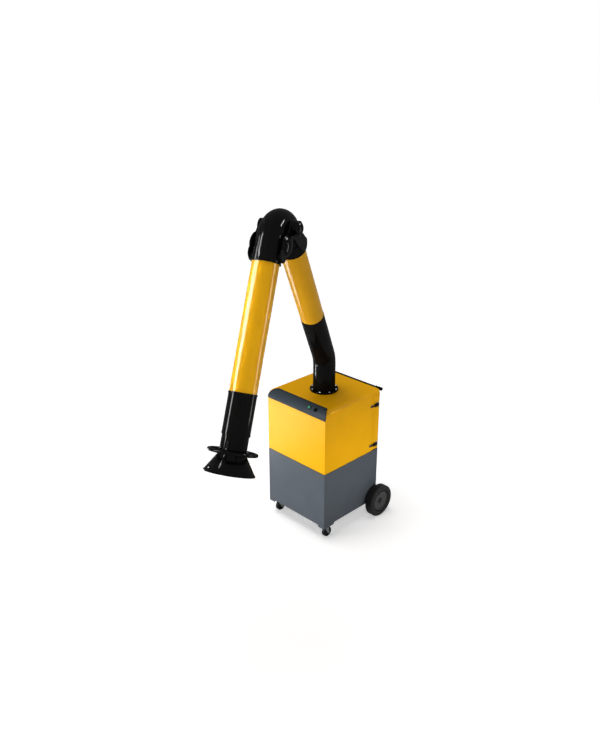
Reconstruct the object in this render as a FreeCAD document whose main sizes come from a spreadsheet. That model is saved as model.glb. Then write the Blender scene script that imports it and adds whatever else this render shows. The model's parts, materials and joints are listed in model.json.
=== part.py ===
"""Mobile fume extractor: a wheeled filter cabinet with a jointed extraction arm.

Millimetres, +Z up. The origin is on the floor under the arm's column, which is
also the middle of the cabinet. The front with the control panel faces -Y.
"""
import FreeCAD, Part
import os
import re
import Sketcher

SIZES = {
    # Cabinet shell
    "cab_width": 600, "cab_depth": 600, "cab_top": 1080, "seam_z": 580, "wall": 2.5,
    "skirt_z": 122, "foot_drop": 17, "foot_run": 108, "foot_run_front": 56, "foot_slant": 10,
    "deck_thick": 5, "deck_set": 1.5, "base_z": 150, "base_thick": 3,
    "side_round": 30, "panel_round": 66, "panel_end_round": 52, "panel_thick": 2,
    # Rear door, its hinges and latches
    "door_depth": 75, "door_gap": 2, "door_header": 44, "door_lip": 18, "door_wall": 2,
    "seal_thick": 1.7,
    "hinge_out": 7, "hinge_pin_r": 3, "hinge_knuckle_r": 6, "hinge_leaf": 34, "hinge_leaf_thick": 2,
    "hinge_tall": 60, "hinge_low_rise": 80, "hinge_high_drop": 136,
    "latch_low_rise": 47, "latch_high_drop": 72, "latch_half": 14, "latch_ear": 4, "latch_reach": 26,
    "latch_pin_set": 56, "latch_plate": 3, "latch_lift": 2, "latch_lever": 4, "latch_pin_r": 2,
    "latch_hook_half": 5, "latch_grip": 44, "latch_eye_r": 3.6, "keeper_half": 9, "keeper_long": 26,
    # Controls
    "button_r": 11, "button_proud": 6, "button_long": 22, "start_x": 121, "stop_x": 184,
    "bezel_wall": 4.5, "bezel_proud": 3, "bezel_long": 14,
    "box_width": 190, "box_depth": 66, "box_tall": 88, "box_drop": 20,
    # Filter
    "filter_side": 40, "filter_width": "=cab_width - filter_side * 2",
    "filter_ahead": 160, "filter_depth": "=cab_depth - filter_ahead",
    "filter_tall": 290, "filter_wall": 14, "filter_back": 10,
    "pleat_pitch": 26, "pleat_paper": 3, "pleat_trim": 10, "screen_thick": 2, "screen_hole_r": 22,
    # Fan
    "scroll_r": 180, "scroll_tall": 135, "inlet_r": 100, "outlet_width": 130, "scroll_sheet": 2,
    "impeller_r": 150, "impeller_lift": 12, "impeller_tall": 100, "impeller_sheet": 3, "blade_start_r": 70,
    "blade_long": 70, "blade_lean": 35, "impeller_hub_r": 25, "impeller_hub": 50, "shaft_r": 8,
    "shaft_grip": 60, "shaft_hole_r": 20,
    "motor_r": 78, "motor_tall": 150, "motor_plate_side": 240, "motor_plate_thick": 4,
    "grille_width": 200, "grille_tall": 120, "grille_thick": 4, "grille_border": 14, "grille_slot": 9,
    # Push bar
    "bar_r": 8.5, "bar_side": 60, "bar_half": "=cab_width / 2 - bar_side", "bar_back": 46, "bar_drop": 21, "bar_cap": 40, "bar_cap_r": 13,
    "bracket_side": 75, "bracket_x": "=cab_width / 2 - bracket_side", "bracket_thick": 8, "bracket_tall": 20,
    # Rear wheels and mains inlet
    "wheel_r": 130, "wheel_wide": 66, "wheel_gap": 9, "tread_wide": 46, "tread_drop": 4, "sidewall_drop": 13,
    "hub_r": 80, "hub_boss_r": 26, "hub_boss": 2, "hub_web": 48, "hub_rim": 6, "tyre_set": 5,
    "axle_in": 13, "axle_y": "=cab_depth / 2 - axle_in",
    "axle_block_side": 60, "axle_block_x": "=cab_width / 2 - axle_block_side",
    "axle_r": 10, "axle_cap_r": 17, "axle_cap": 6, "axle_block": 30,
    "gland_side": 100, "gland_x": "=cab_width / 2 - gland_side",
    "gland_r": 10, "gland_z": 210, "gland_out": 20, "gland_nut_r": 14, "gland_nut": 8,
    # Front casters
    "caster_side": 42, "caster_x": "=cab_width / 2 - caster_side",
    "caster_front": 45, "caster_y": "=cab_depth / 2 - caster_front",
    "caster_turn": 90, "caster_trail": 30, "caster_wheel_r": 40,
    "caster_wheel_wide": 30, "caster_core_r": 27, "caster_plate": 76, "caster_plate_thick": 4,
    "caster_race_r": 28, "caster_race": 10, "kingpin_r": 8, "kingpin_head_r": 13, "kingpin_head": 6,
    "fork_cap_r": 30, "fork_cap": 10, "fork_leg": 3, "fork_play": 4, "fork_half": 20,
    "caster_axle_r": 5, "caster_bolt_r": 8, "caster_bolt": 4,
    # Arm: directions in degrees, lengths along the tubes
    "arm_azimuth": 22.8, "inner_tilt": 32.5, "outer_tilt": 26.3,
    "shoulder_up": 256, "inner_long": 1534, "tube_r": 82, "tube_wall": 1.5,
    "flange_r": 108, "flange_thick": 12, "bolt_ring_r": 96, "bolt_head_r": 6, "bolt_head": 5,
    "spigot_wall": 2.5, "spigot_r": 78, "spigot_tall": 96, "spigot_drop": 12, "spigot_step": 1,
    "sleeve_wall": 5.4, "sleeve_tall": 185, "base_bend_r": 190,
    "inner_tube_start": 482, "inner_tube_stop": 412, "outer_tube_start": 384, "outer_tube_end": 1145,
    "tube_grip": 40, "collar_long": 78, "collar_wall": 6, "collar_lip": 3,
    "hose_wall": 3, "hose_extra": 2, "cuff_long": 12, "cuff_extra": 2,
    "elbow_bend_r": 139.5, "elbow_reach": 145, "elbow_pin_r": 12,
    "ear_thick": 8, "ear_half": 46, "ear_gap": 0.9, "ear_set": 20, "cover_r": 66, "cover_edge": 2,
    "cover_rise": 26, "hinge_boss_r": 46, "hinge_boss": 34, "hinge_dome": 20, "hinge_cap": 10,
    "yoke_gap": 22, "yoke_ear": 8, "yoke_half": 20, "shoulder_pin_r": 6, "shoulder_nut_r": 10,
    "shoulder_nut": 6, "spider_half": 13, "spider_thick": 24, "link_half": 7, "link_side": 16,
    # Hood: runs down the outer tube's axis, each from the piece before it
    "joint_run": 118, "hose_run": 236, "neck_run": 119, "flare_run": 109, "rim_run": 7,
    "neck_r": 80, "rim_r": 150, "rim_lip": 3, "ridge_r": 85, "ridge_long": 12, "hood_wall": 2.5,
    "ring_set": 110, "ring_r": 140, "ring_rod_r": 10, "ring_band": 4, "ring_band_half": 7, "spoke_r": 6,
    "damper_set": 93, "damper_r": 74, "damper_thick": 3, "spindle_r": 4, "spindle_out": 15,
    "damper_lever": 45, "lever_half": 6, "cross_half": 9, "cross_pin_r": 5, "cross_ear": 6, "cross_gap": 14,
    "cross_ear_half": 8, "cross_reach": 40, "cross_bridge": 10, "stem_r": 10,
    "hood_bar_half": 6, "hood_bar": 12,
    # Clearances
    "running": 0.05, "clearance": 0.3,
}
FLANGE_BOLTS = 8
FAN_BLADES = 8
GRILLE_SLOTS = 5
RING_SPOKES = 4
SCREEN_ROWS = 7
SCREEN_LINES = 6
DOME_STEPS = 6

doc = FreeCAD.newDocument("FumeExtractor")
sheet = doc.addObject("Spreadsheet::Sheet", "Sizes")
for row, (alias, size) in enumerate(SIZES.items(), start=1):
    sheet.set(f"A{row}", alias)
    sheet.set(f"B{row}", str(size))
    sheet.setAlias(f"B{row}", alias)
doc.recompute()

SUBPARTS = []
LEVEL = "rotation(vector(0; 0; 1); 0)"
TOWARDS = {"X": "rotation(vector(0; 1; 0); 90)", "Y": "rotation(vector(1; 0; 0); -90)", "Z": LEVEL}


def bind(text):
    """Expression text in which every size name points at the sheet."""
    return re.sub(r"[A-Za-z]\w*", lambda word: f"Sizes.{word[0]}" if word[0] in SIZES else word[0], str(text))


def number(text):
    """Present value of an expression of sizes."""
    return float(sheet.evalExpression(bind(text)))


def placement(at, turn=LEVEL):
    return f"placement(vector({at[0]}; {at[1]}; {at[2]}); {turn})"


def box(low, high):
    """Block between two corners."""
    block = doc.addObject("Part::Box", "Block")
    for side, near, far in zip(("Length", "Width", "Height"), low, high):
        block.setExpression(side, bind(f"({far}) - ({near})"))
    block.setExpression("Placement", bind(placement(low)))
    return block


def cylinder(radius, at, length, towards="Z"):
    """Round bar from a point, along an axis or along a given turn of +Z."""
    bar = doc.addObject("Part::Cylinder", "Bar")
    bar.setExpression("Radius", bind(radius))
    bar.setExpression("Height", bind(length))
    bar.setExpression("Placement", bind(placement(at, TOWARDS.get(towards, towards))))
    return bar


def torus(ring, rod, at, turn=LEVEL, sweep="360"):
    """Ring, or the part of one that a bend sweeps."""
    bend = doc.addObject("Part::Torus", "Bend")
    bend.setExpression("Radius1", bind(ring))
    bend.setExpression("Radius2", bind(rod))
    bend.setExpression("Angle3", bind(sweep))
    bend.setExpression("Placement", bind(placement(at, turn)))
    return bend


def fuse(*shapes):
    joined = doc.addObject("Part::MultiFuse", "Joined")
    joined.Shapes = list(shapes)
    joined.Refine = True
    return joined


def cut(base, *tools):
    for tool in tools:
        result = doc.addObject("Part::Cut", "Trimmed")
        result.Base = base
        result.Tool = tool
        base = result
    return base


def common(first, second):
    shared = doc.addObject("Part::Common", "Shared")
    shared.Base = first
    shared.Tool = second
    return shared


def subpart(label, shape, frame=None):
    """Name a finished piece and set it in its frame."""
    shape.Label = label
    if frame:
        shape.setExpression("Placement", bind(frame))
    SUBPARTS.append(shape)


def both_ways(low, high):
    """The stretch between two distances, on either side of a middle."""
    return ((low, high), (f"-({high})", f"-({low})"))


def sketch(body, plane, *loops):
    """Sketch of closed outlines: lists of (x, y) corners, or (x, y, radius) circles."""
    outline = body.newObject("Sketcher::SketchObject", "Outline")
    support = next(item for item in body.Origin.OriginFeatures if item.Role == plane)
    outline.AttachmentSupport = (support, "")
    outline.MapMode = "FlatFace"

    def fix(constraint, text):
        index = outline.addConstraint(constraint)
        outline.setExpression(f"Constraints[{index}]", bind(text))

    def fix_point(geometry, point, x, y):
        fix(Sketcher.Constraint("DistanceX", -1, 1, geometry, point, number(x)), x)
        fix(Sketcher.Constraint("DistanceY", -1, 1, geometry, point, number(y)), y)

    for loop in loops:
        if isinstance(loop, tuple):
            x, y, radius = loop
            centre = FreeCAD.Vector(number(x), number(y), 0)
            edge = outline.addGeometry(Part.Circle(centre, FreeCAD.Vector(0, 0, 1), number(radius)))
            fix(Sketcher.Constraint("Radius", edge, number(radius)), radius)
            fix_point(edge, 3, x, y)
            continue
        corners = [FreeCAD.Vector(number(x), number(y), 0) for x, y in loop]
        edges = []
        for start, end in zip(corners, corners[1:] + corners[:1]):
            edges.append(outline.addGeometry(Part.LineSegment(start, end)))
        for edge, follower in zip(edges, edges[1:] + edges[:1]):
            outline.addConstraint(Sketcher.Constraint("Coincident", edge, 2, follower, 1))
        for edge, (x, y) in zip(edges, loop):
            fix_point(edge, 1, x, y)
    return outline


def pad(body, outline, length):
    feature = body.newObject("PartDesign::Pad", "Pad")
    feature.Profile = outline
    feature.setExpression("Length", bind(length))


def pocket(body, outline, length, midplane=False):
    feature = body.newObject("PartDesign::Pocket", "Pocket")
    feature.Profile = outline
    feature.Midplane = midplane
    feature.setExpression("Length", bind(length))


def revolved(profile):
    """Body of revolution about its own Z, from (radius, z) corners."""
    body = doc.addObject("PartDesign::Body", "Turned")
    outline = sketch(body, "XZ_Plane", profile)
    feature = body.newObject("PartDesign::Revolution", "Revolution")
    feature.Profile = outline
    feature.ReferenceAxis = (outline, ["V_Axis"])
    feature.Angle = 360
    return body


def dome(radius, rise, sink, at, outwards):
    """Low dome on a face across Y, sunk a little into it, outwards along +Y (1) or -Y (-1)."""
    ball_r = f"((({radius}) * ({radius}) + {rise} * {rise}) / (2 * {rise}))"
    spread = f"asin(({radius}) / {ball_r})"
    profile = [("0", f"-{sink}"), (radius, f"-{sink}"), (radius, "0")]
    for step in range(1, DOME_STEPS):
        angle = f"({spread} * {1 - step / DOME_STEPS})"
        profile.append((f"{ball_r} * sin({angle})", f"{ball_r} * (cos({angle}) - cos({spread}))"))
    body = revolved(profile + [("0", rise)])
    body.setExpression("Placement", bind(placement(at, f"rotation(vector(1; 0; 0); {-90 * outwards})")))
    return body


def plate(outline, low, high):
    """Plate across Y between two stations, from an (x, z) outline."""
    body = doc.addObject("PartDesign::Body", "Plate")
    pad(body, sketch(body, "XZ_Plane", outline), f"({high}) - ({low})")
    body.setExpression("Placement", bind(placement(("0", high, "0"))))
    return body


def rectangle(low_x, low_y, high_x, high_y):
    return [(low_x, low_y), (high_x, low_y), (high_x, high_y), (low_x, high_y)]


# Shared places on the cabinet
SIDE = "(cab_width / 2)"
REAR = "(cab_depth / 2)"
FRONT = "(-cab_depth / 2)"
INSIDE_X = f"({SIDE} - wall)"
INSIDE_Y = f"({REAR} - wall)"
FOOT_Z = "(skirt_z - foot_drop)"
DECK_LOW = "(seam_z - deck_thick)"
DOOR_Y = f"({REAR} - door_depth)"
DOOR_TOP = "(cab_top - door_header)"
DOOR_LOW = "(seam_z + door_gap * 2)"
ARC_Y = f"({FRONT} + panel_round)"
ARC_Z = "(cab_top - panel_round)"
SHELL_ARC = "(panel_round - panel_thick)"
SCROLL_LOW = f"({DECK_LOW} - scroll_tall)"
OUTLET_X = "(scroll_r - outlet_width / 2)"
OUTLET_Z = f"({DECK_LOW} - scroll_tall / 2)"
FILTER_REAR = f"({DOOR_Y} - wall - filter_back)"
FILTER_FRONT = f"({FILTER_REAR} - filter_depth)"
FILTER_TOP = "(seam_z + filter_tall)"
BEZEL_R = "(button_r + running + bezel_wall)"
BEZEL_TOP = "(panel_round + bezel_proud)"
BUTTON_TOP = "(panel_round + button_proud)"
BAR_Y = f"({REAR} + bar_back)"
BAR_Z = "(cab_top - bar_drop)"
HINGE_X = f"(-{SIDE} - hinge_out)"
HINGE_Y = f"({DOOR_Y} + door_gap / 2)"
LATCH_PIN_X = f"({SIDE} + latch_plate + latch_lift + latch_lever / 2)"
LATCH_PIN_Y = f"({DOOR_Y} + latch_pin_set)"
HINGE_ZS = ("(seam_z + hinge_low_rise)", f"({DOOR_TOP} - hinge_high_drop)")
LATCH_ZS = {"latch_lever_upper": f"({DOOR_TOP} - latch_high_drop)",
            "latch_lever_lower": "(seam_z + latch_low_rise)"}

# Frames of the arm: X points away from the column, Y is the hinges' direction
SHOULDER_Z = "(cab_top + shoulder_up)"
SWING = "rotation(vector(0; 0; 1); arm_azimuth - 90)"
CROSS_REACH = "(inner_long * sin(inner_tilt))"
CROSS_AT = (f"{CROSS_REACH} * sin(arm_azimuth)", f"-{CROSS_REACH} * cos(arm_azimuth)",
            f"{SHOULDER_Z} + inner_long * cos(inner_tilt)")
TURRET = placement(("0", "0", "0"), SWING)
INNER = placement(("0", "0", SHOULDER_Z), f"{SWING} * rotation(vector(0; 1; 0); inner_tilt)")
OUTER = placement(CROSS_AT, f"{SWING} * rotation(vector(0; 1; 0); 180 - outer_tilt)")

# The elbow's hinge is on the inside of the bend, as far off one tube's axis as off the other's
FOLD = "(inner_tilt + outer_tilt)"
ELBOW_OFF = f"(elbow_reach * tan({FOLD} / 2))"
ELBOW_TURN = f"(180 - {FOLD})"
ELBOW_TANGENT = f"(elbow_bend_r * tan({ELBOW_TURN} / 2))"
INNER_END = "(inner_long - inner_tube_stop)"
BASE_TANGENT = "(base_bend_r * tan(inner_tilt / 2))"
BORE_R = "(tube_r - tube_wall)"
COLLAR_R = "(tube_r + collar_wall)"
HOSE_R = "(tube_r + hose_extra)"
EAR_IN = f"({COLLAR_R} + ear_gap)"
EAR_OUT = f"({EAR_IN} + ear_thick + ear_gap)"
FLANGE_TOP = "(cab_top + flange_thick)"
SLEEVE_LOW = f"({FLANGE_TOP} + clearance)"
SLEEVE_TOP = f"({SLEEVE_LOW} + sleeve_tall)"
SLEEVE_BORE = "(spigot_r + clearance)"
SPIGOT_NECK = "(spigot_r + spigot_step)"
HOOD_JOINT = "(outer_tube_end + joint_run)"
HOOD_START = "(outer_tube_end + hose_run)"
FLARE_Z = f"({HOOD_START} + neck_run)"
RIM_Z = f"({FLARE_Z} + flare_run)"
HOOD_END = f"({RIM_Z} + rim_run)"
RING_Z = f"({HOOD_START} + ring_set)"
DAMPER_Z = f"({HOOD_START} + damper_set)"


def lower_housing():
    """Grey steel skirt with four corner feet, an outlet window, a gland hole and axle holes."""
    body = doc.addObject("PartDesign::Body", "Skirt")
    outer = rectangle(f"-{SIDE}", FRONT, SIDE, REAR)
    inner = rectangle(f"-{INSIDE_X}", f"-{INSIDE_Y}", INSIDE_X, INSIDE_Y)
    pad(body, sketch(body, "XY_Plane", outer, inner), f"{DECK_LOW} - {FOOT_Z}")
    for plane, half, run in (("XZ_Plane", SIDE, "foot_run_front"), ("YZ_Plane", REAR, "foot_run")):
        low = f"({half} - {run})"
        high = f"({half} - {run} - foot_slant)"
        notch = [(f"-{low}", "0"), (low, "0"), (high, "foot_drop"), (f"-{high}", "foot_drop")]
        pocket(body, sketch(body, plane, notch), "cab_width + cab_depth", midplane=True)
    axle_hole = ("axle_y", f"wheel_r - {FOOT_Z}", "axle_r + clearance")
    pocket(body, sketch(body, "YZ_Plane", axle_hole), "cab_width * 2", midplane=True)
    half_x = "(grille_width / 2 - grille_border)"
    half_z = "(grille_tall / 2 - grille_border)"
    middle_z = f"({OUTLET_Z} - {FOOT_Z})"
    window = rectangle(f"{OUTLET_X} - {half_x}", f"{middle_z} - {half_z}",
                       f"{OUTLET_X} + {half_x}", f"{middle_z} + {half_z}")
    gland_hole = ("-gland_x", f"gland_z - {FOOT_Z}", "gland_r + running")
    pocket(body, sketch(body, "XZ_Plane", window, gland_hole), "cab_depth")
    subpart("lower_housing", body, placement(("0", "0", FOOT_Z)))


def arched(inset, rounding="side_round"):
    """Block as wide as the upper housing, with its two rounded top edges, taken in by an inset."""
    side = f"({SIDE} - {inset})"
    shoulder = f"(cab_top - {rounding})"
    flat = f"({SIDE} - {rounding})"
    low_y = f"({FRONT} + {inset})"
    high_y = f"({REAR} - {inset})"
    rounds = []
    for x in (flat, f"-{flat}"):
        rounds.append(cylinder(f"{rounding} - {inset}", (x, low_y, shoulder), f"{high_y} - {low_y}", "Y"))
    return fuse(box((f"-{side}", low_y, "seam_z"), (side, high_y, shoulder)),
                box((f"-{flat}", low_y, "seam_z"), (flat, high_y, f"cab_top - {inset}")),
                *rounds)


def shell_block(inset):
    """Outside or inside of the upper housing, stepped back where the control panel lies."""
    low_y = f"({FRONT} + {inset})"
    high_y = f"({REAR} - {inset})"
    along = fuse(box((f"-{SIDE}", low_y, "seam_z"), (SIDE, high_y, ARC_Z)),
                 box((f"-{SIDE}", ARC_Y, "seam_z"), (SIDE, high_y, f"cab_top - {inset}")),
                 cylinder(f"{SHELL_ARC} - {inset}", (f"-{SIDE}", ARC_Y, ARC_Z), "cab_width", "X"))
    return common(arched(inset), along)


def on_panel(x, depth, length, radius):
    """Round bar square to the middle of the control panel's curve."""
    at = (x, f"{ARC_Y} - ({depth}) * sin(45)", f"{ARC_Z} + ({depth}) * cos(45)")
    return cylinder(radius, at, length, "rotation(vector(1; 0; 0); 45)")


def upper_housing():
    """Yellow steel hood over the filter, with a flanged doorway at the rear."""
    doorway = box((f"-{SIDE}", DOOR_Y, "seam_z"), (SIDE, REAR, f"{DOOR_TOP} + door_gap"))
    shell = cut(shell_block("0"), shell_block("wall"), doorway)
    flange = box((f"-{SIDE}", f"{DOOR_Y} - wall", "seam_z"), (SIDE, DOOR_Y, f"{DOOR_TOP} + door_gap"))
    way_x = f"({INSIDE_X} - door_lip)"
    way = box((f"-{way_x}", f"{DOOR_Y} - wall * 2", "seam_z + door_lip"),
              (way_x, f"{DOOR_Y} + wall", f"{DOOR_TOP} - door_lip"))
    duct = cylinder(f"{SPIGOT_NECK} + clearance", ("0", "0", "cab_top - wall * 2"), "wall * 4")
    holes = []
    for x in ("start_x", "stop_x"):
        holes.append(on_panel(x, "panel_round / 2", "panel_round", f"{BEZEL_R} + clearance"))
    subpart("upper_housing", cut(fuse(shell, cut(flange, way)), duct, *holes))


def control_panel():
    """Grey quarter-round panel along the front top edge, with two bezels and two buttons."""
    front_to_top = "rotation(vector(1; -1; -1); 120)"
    sectors = []
    for radius in ("panel_round", SHELL_ARC):
        sector = cylinder(radius, (SIDE, ARC_Y, ARC_Z), "cab_width", front_to_top)
        sector.Angle = 90
        sectors.append(sector)
    strip = common(cut(*sectors), arched("0", "panel_end_round"))
    places = (("start_button", "start_x"), ("stop_button", "stop_x"))
    holes = [on_panel(x, "panel_round / 2", "panel_round", f"{BEZEL_R} + running") for name, x in places]
    subpart("control_panel", cut(strip, *holes))
    bezels = []
    for name, x in places:
        ring = on_panel(x, f"{BEZEL_TOP} - bezel_long", "bezel_long", BEZEL_R)
        bore = on_panel(x, "panel_round / 2", "panel_round", "button_r + running")
        bezels.append(cut(ring, bore))
        subpart(name, on_panel(x, f"{BUTTON_TOP} - button_long", "button_long", "button_r"))
    subpart("switch_bezels", fuse(*bezels))
    middle = "((start_x + stop_x) / 2)"
    top = f"({ARC_Z} - box_drop)"
    subpart("control_box", box((f"{middle} - box_width / 2", f"-{INSIDE_Y}", f"{top} - box_tall"),
                               (f"{middle} + box_width / 2", f"box_depth - {INSIDE_Y}", top)))


def decks():
    """Deck between the two housings and the base plate that carries the running gear."""
    half_x = f"({SIDE} - deck_set)"
    half_y = f"({REAR} - deck_set)"
    deck = box((f"-{half_x}", f"-{half_y}", DECK_LOW), (half_x, half_y, "seam_z"))
    inlet = cylinder("inlet_r", ("0", "0", f"{DECK_LOW} - deck_thick"), "deck_thick * 3")
    subpart("mid_deck", cut(deck, inlet))
    subpart("base_plate", box((f"-{INSIDE_X}", f"-{INSIDE_Y}", "base_z"),
                              (INSIDE_X, INSIDE_Y, "base_z + base_thick")))


def filter_cassette():
    """Filter frame on the deck, its pleated medium, and the spark screen on top."""
    half = "(filter_width / 2)"
    inner = f"({half} - filter_wall)"
    outside = box((f"-{half}", FILTER_FRONT, "seam_z"), (half, FILTER_REAR, FILTER_TOP))
    inside = box((f"-{inner}", f"{FILTER_FRONT} + filter_wall", "seam_z - filter_wall"),
                 (inner, f"{FILTER_REAR} - filter_wall", f"{FILTER_TOP} + filter_wall"))
    subpart("filter_frame", cut(outside, inside))

    low = number("seam_z + pleat_trim")
    high = number(f"{FILTER_TOP} - pleat_trim - pleat_paper")
    reach = number(inner)
    count = int(2 * reach / number("pleat_pitch"))
    step = 2 * reach / count
    under = []
    for fold in range(2 * count + 1):
        under.append(FreeCAD.Vector(-reach + fold * step / 2, 0, high if fold % 2 else low))
    lift = FreeCAD.Vector(0, 0, number("pleat_paper"))
    outline = under + [point + lift for point in reversed(under)]
    face = Part.Face(Part.makePolygon(outline + outline[:1]))
    near = number(f"{FILTER_FRONT} + filter_wall")
    paper = doc.addObject("Part::Feature", "Pleats")
    paper.Shape = face.extrude(FreeCAD.Vector(0, number("filter_depth - filter_wall * 2"), 0))
    paper.Placement = FreeCAD.Placement(FreeCAD.Vector(0, near, 0), FreeCAD.Rotation())
    subpart("filter_pleats", paper)

    screen = doc.addObject("PartDesign::Body", "Screen")
    outline = rectangle(f"-{half}", FILTER_FRONT, half, FILTER_REAR)
    pad(screen, sketch(screen, "XY_Plane", outline), "screen_thick")
    holes = []
    for line in range(SCREEN_LINES):
        for place in range(SCREEN_ROWS):
            x = f"filter_width * {(place + 0.5) / SCREEN_ROWS - 0.5}"
            y = f"{FILTER_FRONT} + filter_depth * {(line + 0.5) / SCREEN_LINES}"
            holes.append((x, y, "screen_hole_r"))
    pocket(screen, sketch(screen, "XY_Plane", *holes), "screen_thick * 4", midplane=True)
    subpart("spark_screen", screen, placement(("0", "0", FILTER_TOP)))


def fan():
    """Radial fan under the deck: scroll, impeller on its shaft, motor and motor plate."""
    sheet_in = "(scroll_r - scroll_sheet)"
    top = f"({DECK_LOW} - scroll_sheet)"
    floor = f"({SCROLL_LOW} + scroll_sheet)"
    duct_low = "(scroll_r - outlet_width)"
    outside = fuse(cylinder("scroll_r", ("0", "0", SCROLL_LOW), "scroll_tall"),
                   box((duct_low, "0", SCROLL_LOW), ("scroll_r", INSIDE_Y, DECK_LOW)))
    inside = fuse(cylinder(sheet_in, ("0", "0", floor), f"{top} - {floor}"),
                  box((f"{duct_low} + scroll_sheet", "0", floor), (sheet_in, f"{REAR} + wall", top)))
    inlet = cylinder("inlet_r", ("0", "0", f"{top} - scroll_sheet"), "scroll_sheet * 4")
    shaft_hole = cylinder("shaft_hole_r", ("0", "0", f"{SCROLL_LOW} - scroll_sheet"), "scroll_sheet * 4")
    subpart("fan_scroll", cut(outside, inside, inlet, shaft_hole))

    back = f"({SCROLL_LOW} + impeller_lift)"
    shroud = f"({back} + impeller_tall)"
    motor_top = f"({SCROLL_LOW} - motor_plate_thick)"
    shaft_low = f"({motor_top} - shaft_grip)"
    eye = cut(cylinder("impeller_r", ("0", "0", shroud), "impeller_sheet"),
              cylinder("inlet_r", ("0", "0", f"{shroud} - impeller_sheet"), "impeller_sheet * 3"))
    pieces = [eye, cylinder("impeller_r", ("0", "0", back), "impeller_sheet"),
              cylinder("impeller_hub_r", ("0", "0", back), "impeller_hub"),
              cylinder("shaft_r", ("0", "0", shaft_low), f"{back} + impeller_hub - {shaft_low}")]
    for blade in range(FAN_BLADES):
        angle = 360 / FAN_BLADES * blade
        at = (f"blade_start_r * cos({angle})", f"blade_start_r * sin({angle})", back)
        vane = box(at, (f"{at[0]} + blade_long", f"{at[1]} + impeller_sheet", shroud))
        vane.setExpression("Placement", bind(placement(at, f"rotation(vector(0; 0; 1); {angle} - blade_lean)")))
        pieces.append(vane)
    subpart("fan_impeller", fuse(*pieces))

    half = "(motor_plate_side / 2)"
    motor_plate = box((f"-{half}", f"-{half}", motor_top), (half, half, SCROLL_LOW))
    hole = cylinder("shaft_hole_r", ("0", "0", f"{motor_top} - motor_plate_thick"), "motor_plate_thick * 3")
    subpart("motor_plate", cut(motor_plate, hole))
    motor = cylinder("motor_r", ("0", "0", f"{motor_top} - motor_tall"), "motor_tall")
    bore = cylinder("shaft_r + running", ("0", "0", f"{shaft_low} - clearance"), "shaft_grip * 2")
    subpart("fan_motor", cut(motor, bore))

    half_x = "(grille_width / 2)"
    half_z = "(grille_tall / 2)"
    grille = box((f"{OUTLET_X} - {half_x}", REAR, f"{OUTLET_Z} - {half_z}"),
                 (f"{OUTLET_X} + {half_x}", f"{REAR} + grille_thick", f"{OUTLET_Z} + {half_z}"))
    slots = []
    slot_x = f"({half_x} - grille_border)"
    for slot in range(GRILLE_SLOTS):
        middle = f"({OUTLET_Z} + (grille_tall - grille_border * 2) * {(slot + 0.5) / GRILLE_SLOTS - 0.5})"
        low = (f"{OUTLET_X} - {slot_x}", f"{REAR} - grille_thick", f"{middle} - grille_slot / 2")
        high = (f"{OUTLET_X} + {slot_x}", f"{REAR} + grille_thick * 2", f"{middle} + grille_slot / 2")
        slots.append(box(low, high))
    subpart("exhaust_grille", cut(grille, *slots))


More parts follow.
